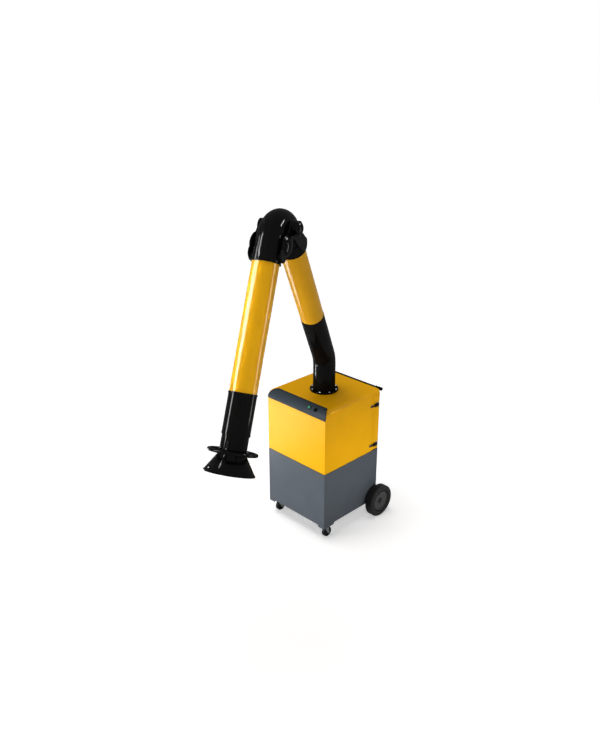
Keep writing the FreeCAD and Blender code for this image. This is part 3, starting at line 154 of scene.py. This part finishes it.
class Finish:
    """Procedural material: a colour and a gloss that drift a little, and a fine grain as bump."""

    def __init__(self, name, slot, colour, rough, shine=0.5, metal=0.0, drift=0.06, drift_size=6.0,
                 grain=900.0, bump=0.05, rough_drift=0.06, coat=0.0, coat_rough=0.1):
        self.slot = slot
        self.material = bpy.data.materials.new(name)
        self.material.use_nodes = True
        self.nodes = self.material.node_tree.nodes
        self.links = self.material.node_tree.links
        shader = self.nodes["Principled BSDF"]
        shader.inputs["Metallic"].default_value = metal
        shader.inputs["Specular IOR Level"].default_value = shine
        shader.inputs["Coat Weight"].default_value = coat
        shader.inputs["Coat Roughness"].default_value = coat_rough
        self.place = self.nodes.new("ShaderNodeTexCoord").outputs["Object"]
        clouds = self.noise(drift_size, 3.0)
        dark = [channel * (1 - drift) for channel in colour]
        light = [min(1.0, channel * (1 + drift)) for channel in colour]
        self.links.new(self.ramp(clouds, dark, light), shader.inputs["Base Color"])
        fine = self.noise(grain, 2.0)
        gloss = self.nodes.new("ShaderNodeMapRange")
        gloss.inputs["To Min"].default_value = rough - rough_drift
        gloss.inputs["To Max"].default_value = rough + rough_drift
        self.links.new(clouds, gloss.inputs["Value"])
        self.links.new(gloss.outputs["Result"], shader.inputs["Roughness"])
        relief = self.nodes.new("ShaderNodeBump")
        relief.inputs["Strength"].default_value = bump
        relief.inputs["Distance"].default_value = GRAIN_DEEP
        self.links.new(fine, relief.inputs["Height"])
        self.links.new(relief.outputs["Normal"], shader.inputs["Normal"])

    def noise(self, scale, detail):
        texture = self.nodes.new("ShaderNodeTexNoise")
        texture.inputs["Scale"].default_value = scale
        texture.inputs["Detail"].default_value = detail
        self.links.new(self.place, texture.inputs["Vector"])
        return texture.outputs["Fac"]

    def ramp(self, factor, low, high):
        blend = self.nodes.new("ShaderNodeValToRGB")
        for stop, position, colour in zip(blend.color_ramp.elements, (0.3, 0.7), (low, high)):
            stop.position = position
            stop.color = (*colour, 1)
        self.links.new(factor, blend.inputs["Fac"])
        return blend.outputs["Color"]


YELLOW = Finish("yellow_powder_coat", "yellow_paint", (0.93, 0.452, 0.003), 0.44, 0.0,
                coat=0.10, coat_rough=0.35, drift=0.025, grain=1400, bump=0.10)
TUBE_YELLOW = Finish("yellow_tube_paint", "yellow_paint", (0.92, 0.455, 0.003), 0.40, 0.0,
                     coat=0.22, coat_rough=0.16, drift=0.025, grain=700, bump=0.03)
GREY = Finish("grey_powder_coat", "grey_paint", (0.096, 0.110, 0.128), 0.46, 0.0,
              coat=0.08, coat_rough=0.35, drift=0.05, grain=1400, bump=0.12)
PANEL = Finish("panel_grey", "panel_grey", (0.042, 0.055, 0.067), 0.42, 0.0,
               coat=0.05, coat_rough=0.3, drift=0.05, grain=1800, bump=0.06)
BLACK = Finish("black_moulded_plastic", "black_plastic", (0.0045, 0.0045, 0.0045), 0.5, 0.0,
               coat=0.08, coat_rough=0.07, drift=0.15, grain=1200, bump=0.03)
HOSE = Finish("black_hose", "hose_rubber", (0.0045, 0.0045, 0.0045), 0.5, 0.0,
              coat=0.08, coat_rough=0.07, drift=0.2, grain=500, bump=0.03)
SEAL = Finish("black_rubber_seal", "hose_rubber", (0.008, 0.008, 0.009), 0.6, 0.04,
              drift=0.2, grain=900, bump=0.1)
TYRE = Finish("tyre_rubber", "tyre_rubber", (0.017, 0.017, 0.017), 0.62, 0.08,
              drift=0.2, drift_size=14, grain=600, bump=0.25)
HUB = Finish("hub_plastic", "hub_plastic", (0.060, 0.060, 0.059), 0.45, 0.1,
             drift=0.1, grain=900, bump=0.15)
CASTER = Finish("caster_tread", "tyre_rubber", (0.007, 0.007, 0.007), 0.45, 0.04,
                drift=0.2, grain=600, bump=0.2)
FORK = Finish("grey_fork_paint", "zinc_steel", (0.17, 0.175, 0.18), 0.5, 0.2,
              drift=0.08, drift_size=20, grain=700, bump=0.1)
BAR = Finish("black_bar_paint", "black_bar", (0.010, 0.010, 0.010), 0.38, 0.06,
             drift=0.1, grain=1500, bump=0.08)
# Painted shade: the mid deck between the housings is painted near black so that the shallow seam reads as
# a dark shadow gap
DECK_PAINTED_SHADE = Finish("deck_painted_shade", "black_bar", (0.012, 0.012, 0.013), 0.55, 0.06,
              drift=0.15, grain=900, bump=0.1)
ZINC = Finish("zinc_plate", "zinc_steel", (0.46, 0.47, 0.48), 0.36, metal=1.0,
              drift=0.12, drift_size=30, grain=300, bump=0.06, rough_drift=0.1)
FAN_METAL = Finish("cast_aluminium", "fan_metal", (0.55, 0.55, 0.56), 0.5, metal=1.0,
                   drift=0.1, grain=500, bump=0.2)
BOARD = Finish("filter_board", "filter_board", (0.42, 0.30, 0.17), 0.8, 0.2,
               drift=0.18, drift_size=40, grain=300, bump=0.3)
PAPER = Finish("filter_paper", "filter_paper", (0.72, 0.70, 0.64), 0.9, 0.2,
               drift=0.06, drift_size=50, grain=700, bump=0.3)
GREEN = Finish("green_lens", "green_plastic", (0.03, 0.26, 0.12), 0.18, 0.5,
               drift=0.2, drift_size=80, grain=900, bump=0.03)

# Solids that are shown as they are, with their finish and the width of their broken edges
DRESSED = [
    ("upper_housing", YELLOW, 0.003), ("rear_door", YELLOW, 0.003), ("lower_housing", GREY, 0.003),
    ("control_panel", PANEL, 0.0015), ("switch_bezels", BLACK, 0.0012), ("start_button", GREEN, 0.0015),
    # mid_deck wears the painted shade of the seam's shadow gap
    ("stop_button", BLACK, 0.0015), ("control_box", BLACK, 0.003), ("mid_deck", DECK_PAINTED_SHADE, 0.0005),
    ("base_plate", GREY, 0.001), ("filter_frame", BOARD, 0.002), ("filter_pleats", PAPER, 0.0004),
    ("spark_screen", ZINC, 0.0003), ("fan_scroll", ZINC, 0.0006), ("fan_impeller", FAN_METAL, 0.0006),
    ("fan_motor", FAN_METAL, 0.003), ("motor_plate", ZINC, 0.001), ("exhaust_grille", GREY, 0.001),
    ("door_seal", SEAL, 0.0004), ("door_hinge_leaves", FORK, 0.0006),
    ("door_hinge_straps", FORK, 0.0006), ("latch_bases", ZINC, 0.0006), ("latch_keepers", FORK, 0.0012),
    ("latch_lever_upper", BLACK, 0.001), ("latch_lever_lower", BLACK, 0.001), ("push_bar", BAR, 0.0015),
    ("push_bar_caps", BLACK, 0.0018), ("push_bar_brackets", BAR, 0.0012), ("rear_axle", ZINC, 0.001),
    ("axle_caps", HUB, 0.002), ("axle_brackets", ZINC, 0.0015), ("caster_plates", FORK, 0.0012),
    ("caster_fork_right", FORK, 0.0008), ("caster_fork_left", FORK, 0.0008),
    ("cable_gland", BLACK, 0.001), ("arm_flange", BLACK, 0.0015), ("flange_bolts", ZINC, 0.0012),
    ("shoulder_yoke", ZINC, 0.001), ("shoulder_pin", ZINC, 0.001), ("shoulder_link", ZINC, 0.001),
    ("elbow_inner_collar", BLACK, 0.002), ("elbow_outer_collar", BLACK, 0.002),
    ("elbow_hinge_bosses", BLACK, 0.003), ("hood_stem", ZINC, 0.001), ("hood_knuckle", ZINC, 0.001),
    ("hood_cone", BLACK, 0.0008), ("hood_ring", BLACK, 0.001), ("damper", BAR, 0.0006),
    ("inner_tube", TUBE_YELLOW, 0.0005), ("outer_tube", TUBE_YELLOW, 0.0005),
    ("swivel_sleeve", BLACK, 0.0015), ("rear_hub_left", HUB, 0.0015), ("rear_hub_right", HUB, 0.0015),
    ("caster_wheel_left", CASTER, 0.0015), ("caster_wheel_right", CASTER, 0.0015),
]
for node, finish, edge in DRESSED:
    dress(f"{node}.look", node, finish, edge)


def bend(start, corner, radius, angle, tail, spacing=0.005):
    """Centre line in the XZ plane: up to a corner, round towards +X, then straight on."""
    line = []
    count = max(2, round((corner - start) / spacing))
    for step in range(count):
        line.append((on_axis(start + (corner - start) * step / count), 0.0))
    count = max(2, round(angle * radius / spacing)) if angle else 0
    for step in range(count):
        turn = angle * step / count
        line.append((Vector((radius * (1 - math.cos(turn)), 0, corner + radius * math.sin(turn))), turn))
    end = Vector((radius * (1 - math.cos(angle)), 0, corner + radius * math.sin(angle)))
    count = max(2, round(tail / spacing))
    for step in range(count + 1):
        along = Vector((math.sin(angle), 0, math.cos(angle))) * (tail * step / count)
        line.append((end + along, angle))
    return line


def hose(name, node, line, place):
    """Thin skin of rings round a centre line, set closely along it."""
    def ring(centre, turn, size):
        across = Vector((math.cos(turn), 0, -math.sin(turn)))
        side = Vector((0, 1, 0))
        steps = (2 * math.pi * step / ROUND for step in range(ROUND))
        return [centre + size * (math.cos(step) * across + math.sin(step) * side) for step in steps]

    outer = [ring(centre, turn, HOSE_R) for centre, turn in line]
    inner = [ring(centre, turn, HOSE_R - HOSE_WALL) for centre, turn in reversed(line)]
    piece = link(name, grid(outer + inner))
    piece.data.transform(place)
    wear(piece, HOSE)
    smooth(piece.data, 50)
    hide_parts(node)
    return piece


def hoses():
    """Three hoses of the arm, each between two points."""
    line = bend(start=1.2776, corner=1.28062, radius=0.190, angle=INNER_TILT, tail=0.4263)
    piece = hose("base_hose.look", "base_hose", line, TURRET)
    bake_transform(piece)

    line = bend(start=1.2003, corner=1.2864, radius=0.1395, angle=ELBOW_TURN, tail=0.0581)
    piece = hose("elbow_hose.look", "elbow_hose", line, INNER)
    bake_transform(piece)

    top, bottom = 1.1453, 1.3807
    for name, low, high, bodies in (("upper", top, HOOD_JOINT, ("outer_arm", "knuckle")),
                                    ("lower", HOOD_JOINT, bottom, ("knuckle", "hood"))):
        line = bend(start=low, corner=(low + high) / 2, radius=1.0, angle=0.0, tail=(high - low) / 2)
        piece = hose(f"hood_hose_{name}.look", "hood_hose", line, OUTER)
        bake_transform(piece)


def panel_seal():
    """Dark bead round the edge of the control panel."""
    half, rounding, end_round, top, front = 0.300, 0.066, 0.052, 1.080, -0.300
    bead_radius, steps = 0.0022, 24
    edge = []
    for turn in (math.pi / 2 * step / steps for step in range(steps + 1)):
        z = top - rounding + rounding * math.sin(turn)
        above = max(0.0, z - (top - end_round))
        x = half - end_round + math.sqrt(max(0.0, end_round ** 2 - above ** 2))
        edge.append((x, front + rounding - rounding * math.cos(turn), z))
    loop = edge + [(-x, y, z) for x, y, z in reversed(edge)]
    curve = bpy.data.curves.new("panel_seal", "CURVE")
    curve.dimensions = "3D"
    curve.bevel_depth = bead_radius
    curve.bevel_resolution = 3
    spline = curve.splines.new("POLY")
    spline.points.add(len(loop) - 1)
    for point, place in zip(spline.points, loop):
        point.co = (*place, 1)
    spline.use_cyclic_u = True
    piece = link("panel_seal", curve)
    wear(piece, SEAL)
    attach(piece, BODY_OF["control_panel"])


def lathed(name, profile, place, finish, body, node):
    """Turned piece in a finish that stands for a node and rides on a body."""
    piece = lathe(name, profile, place)
    wear(piece, finish)
    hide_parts(node)
    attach(piece, body)


def tyre(side, sign):
    """Rubber tyre with a groove round the hub, a raised line on each sidewall and a grooved tread."""
    wide, bead, radius, groove = 0.066, 0.0801, 0.130, 0.1284
    inner_face, axle_y = 0.309, 0.287
    hub_groove = [(bead, 0.016), (0.0862, 0.016), (0.0892, 0.0048), (0.0925, 0.0032)]
    sidewall = [(0.104, 0.0014), (0.1085, 0.0010), (0.1095, 0.0001), (0.1125, 0.0001), (0.1135, 0.0008)]
    shoulder = [(0.1190, 0.0010), (0.1235, 0.0024), (0.1265, 0.0050), (0.1285, 0.0080), (radius, 0.0105)]
    tread = [(radius, 0.0175), (groove, 0.0182), (groove, 0.0206), (radius, 0.0213),
             (radius, 0.0290), (groove, 0.0297), (groove, 0.0321), (radius, 0.0328)]
    half = hub_groove + sidewall + shoulder + tread
    profile = half + [(r, wide - z) for r, z in reversed(half)]
    turned = Matrix.Rotation(sign * math.pi / 2, 4, "Y")
    place = Matrix.Translation((sign * inner_face, axle_y, radius)) @ turned
    lathed(f"rear_tyre_{side}.look", profile, place, TYRE, f"wheel_{side}", f"rear_tyre_{side}")


def stud(name, at, along, radius, rise, finish, body):
    """Small domed fastener head, sunk a little into a surface."""
    sunk, core = -0.0006, 0.0001
    profile = [(radius, sunk), (radius, rise * 0.35), (radius * 0.86, rise * 0.75),
               (radius * 0.55, rise * 0.95), (core, rise), (core, sunk)]
    place = Matrix.Translation(at) @ Vector(along).to_track_quat("Z", "Y").to_matrix().to_4x4()
    piece = lathe(name, profile, place, segments=24, angle=50)
    wear(piece, finish)
    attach(piece, body)


def hood_fittings():
    """Cuff of the hood's hose, stud on the hood's flare and end of the damper's spindle."""
    cuff = [(0.0840, 1.1455), (0.0862, 1.1455), (0.0866, 1.1475),
            (0.0866, 1.1550), (0.0862, 1.1570), (0.0840, 1.1570)]
    lathed("hood_hose_cuff", cuff, OUTER, BLACK, "outer_arm", "hood_hose")
    turned = OUTER.to_3x3()
    turn, slope = math.radians(214.5), math.atan2(0.070, 0.109)
    out = Vector((math.cos(turn), math.sin(turn), 0))
    at = OUTER @ (out * 0.1398 + on_axis(1.5924))
    along = turned @ (out * math.cos(slope) - on_axis(math.sin(slope)))
    stud("hood_stud", at, along, 0.0048, 0.003, ZINC, "hood")
    at = OUTER @ Vector((-0.095, 0, 1.474))
    stud("spindle_end", at, turned @ Vector((-1, 0, 0)), 0.0042, 0.0025, FORK, "damper")


def screws():
    """Screws of the door's hinges on the left side and of the outlet grille behind."""
    left, leaf_y, strap_y, strap_up = -0.302, 0.201, 0.251, 0.030
    for row, z in enumerate((0.660, 0.900)):
        for column, rise in enumerate((0.008, 0.022)):
            stud(f"leaf_screw_{row}{column}", (left, leaf_y, z + rise), (-1, 0, 0),
                 0.0035, 0.0015, ZINC, "cabinet")
            stud(f"strap_screw_{row}{column}", (left, strap_y, z + strap_up + rise), (-1, 0, 0),
                 0.0035, 0.0015, ZINC, "door")
    inset = 0.008
    low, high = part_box("exhaust_grille")
    for column, x in enumerate((low.x + inset, high.x - inset)):
        for row, z in enumerate((low.z + inset, high.z - inset)):
            stud(f"grille_screw_{column}{row}", (x, high.y, z), (0, 1, 0), 0.004, 0.0018, ZINC, "cabinet")


hoses()
panel_seal()
tyre("right", 1)
tyre("left", -1)
hood_fittings()
screws()


def camera():
    """Camera of the photograph, fitted to the cabinet's edges."""
    azimuth, pitch = math.radians(45.31), math.radians(22.67)
    focal_pixels, tall_pixels, sensor_mm = 743.76, 745, 36
    level = math.cos(pitch)
    back = Vector((math.sin(azimuth) * level, -math.cos(azimuth) * level, math.sin(pitch)))
    right = Vector((math.cos(azimuth), math.sin(azimuth), 0))
    eye = link("camera", bpy.data.cameras.new("camera"))
    turn = Matrix((right, back.cross(right), back)).transposed().to_4x4()
    eye.matrix_world = Matrix.Translation((3.52973, -3.74732, 3.36460)) @ turn
    eye.data.sensor_fit = "AUTO"
    eye.data.sensor_width = sensor_mm
    eye.data.lens = focal_pixels / tall_pixels * sensor_mm
    eye.data.clip_end = 200
    bpy.context.scene.camera = eye


def background_rays(tree):
    """1 for rays that see the plain background (camera, glossy and transmission rays), else 0."""
    path = tree.nodes.new("ShaderNodeLightPath")
    total = path.outputs["Is Camera Ray"]
    for other in ("Is Glossy Ray", "Is Transmission Ray"):
        either = tree.nodes.new("ShaderNodeMath")
        either.operation = "MAXIMUM"
        tree.links.new(total, either.inputs[0])
        tree.links.new(path.outputs[other], either.inputs[1])
        total = either.outputs[0]
    return total


def surroundings():
    """White background that lights the part only faintly."""
    world = bpy.data.worlds.new("studio")
    bpy.context.scene.world = world
    world.use_nodes = True
    tree = world.node_tree
    lit = tree.nodes["Background"]
    seen = tree.nodes.new("ShaderNodeBackground")
    for shade, strength in ((lit, 0.14), (seen, 1.0)):
        shade.inputs["Color"].default_value = (1, 1, 1, 1)
        shade.inputs["Strength"].default_value = strength
    choose = tree.nodes.new("ShaderNodeMixShader")
    tree.links.new(background_rays(tree), choose.inputs["Fac"])
    tree.links.new(lit.outputs[0], choose.inputs[1])
    tree.links.new(seen.outputs[0], choose.inputs[2])
    tree.links.new(choose.outputs[0], tree.nodes["World Output"].inputs["Surface"])


def pale_floor():
    """Matt floor that takes the shadow and is lifted to the background's white where it is seen."""
    half, lift = 60, 0.45
    pale = bpy.data.materials.new("pale_floor")
    pale.use_nodes = True
    tree = pale.node_tree
    shader = tree.nodes["Principled BSDF"]
    shader.inputs["Base Color"].default_value = (0.97, 0.97, 0.97, 1)
    shader.inputs["Roughness"].default_value = 1.0
    shader.inputs["Specular IOR Level"].default_value = 0.0
    shader.inputs["Emission Color"].default_value = (1, 1, 1, 1)
    glow = tree.nodes.new("ShaderNodeMath")
    glow.operation = "MULTIPLY"
    glow.inputs[1].default_value = lift
    tree.links.new(background_rays(tree), glow.inputs[0])
    tree.links.new(glow.outputs[0], shader.inputs["Emission Strength"])
    corners = [(-half, -half, 0), (half, -half, 0), (half, half, 0), (-half, half, 0)]
    ground = bpy.data.meshes.new("floor")
    ground.from_pydata(corners, [], [(0, 1, 2, 3)])
    floor = link("floor", ground)
    floor.data.materials.append(pale)


def sun(name, strength, spread, towards):
    """Distant lamp that shines from a direction and shows no disc in gloss."""
    lamp = bpy.data.lights.new(name, "SUN")
    lamp.energy = strength
    lamp.angle = math.radians(spread)
    piece = link(name, lamp)
    piece.rotation_euler = Vector(towards).to_track_quat("Z", "Y").to_euler()
    piece.visible_glossy = False


def softbox(name, power, size, place, aim, spread, gloss_only):
    """Rectangular lamp that faces a point, on everything or as a reflection in gloss only."""
    lamp = bpy.data.lights.new(name, "AREA")
    lamp.shape = "RECTANGLE"
    lamp.size, lamp.size_y = size
    lamp.energy = power
    lamp.spread = math.radians(spread)
    piece = link(name, lamp)
    piece.location = place
    piece.visible_diffuse = not gloss_only
    piece.visible_camera = False
    piece.rotation_euler = (Vector(place) - Vector(aim)).to_track_quat("Z", "Y").to_euler()


# Name, strength, spread in degrees, direction that the light comes from
SUNS = [
    ("overhead", 1.50, 40, (-0.16, -0.13, 0.98)),
    ("right_fill", 0.15, 50, (0.97, 0.10, 0.04)),
]
# Name, power in watts, size, place, point faced, spread in degrees, seen in gloss only
SOFTBOXES = [
    ("side_box", 1.58, (1.2, 0.8), (6.0, 0.6, 0.62), (0.3, 0.0, 0.60), 14, False),
    ("front_box", 12.2, (1.4, 1.0), (-1.5, -3.1, 0.5), (0, -0.3, 0.65), 60, False),
    ("arm_fill", 3.7, (0.6, 1.6), (-1.7, -2.7, 2.7), (0.46, -1.10, 2.0), 18, False),
    ("arm_side", 0.45, (0.4, 1.4), (3.75, -2.3, 1.95), (0.46, -1.1, 1.95), 8, False),
    ("arm_box", 360, (0.42, 2.6), (-1.0, -3.2, 3.0), (0.44, -1.05, 2.0), 180, True),
    ("dome_strip", 110, (1.0, 0.26), (1.75, 1.4, 3.9), (0.32, -0.76, 2.6), 180, True),
    ("rim_strip", 90, (0.22, 2.4), (2.6, 1.3, 1.7), (0.44, -1.05, 2.0), 180, True),
    ("low_strip", 60, (0.14, 0.5), (-2.1, -1.4, 0.3), (0, 0, 1.2), 180, True),
    ("floor_panel", 125, (1.5, 1.3), (-1.75, -1.35, 0.02), (-1.75, -1.35, 1), 180, True),
]

camera()
surroundings()
pale_floor()
for row in SUNS:
    sun(*row)
for row in SOFTBOXES:
    softbox(*row)
bpy.context.scene.view_settings.view_transform = "Standard"
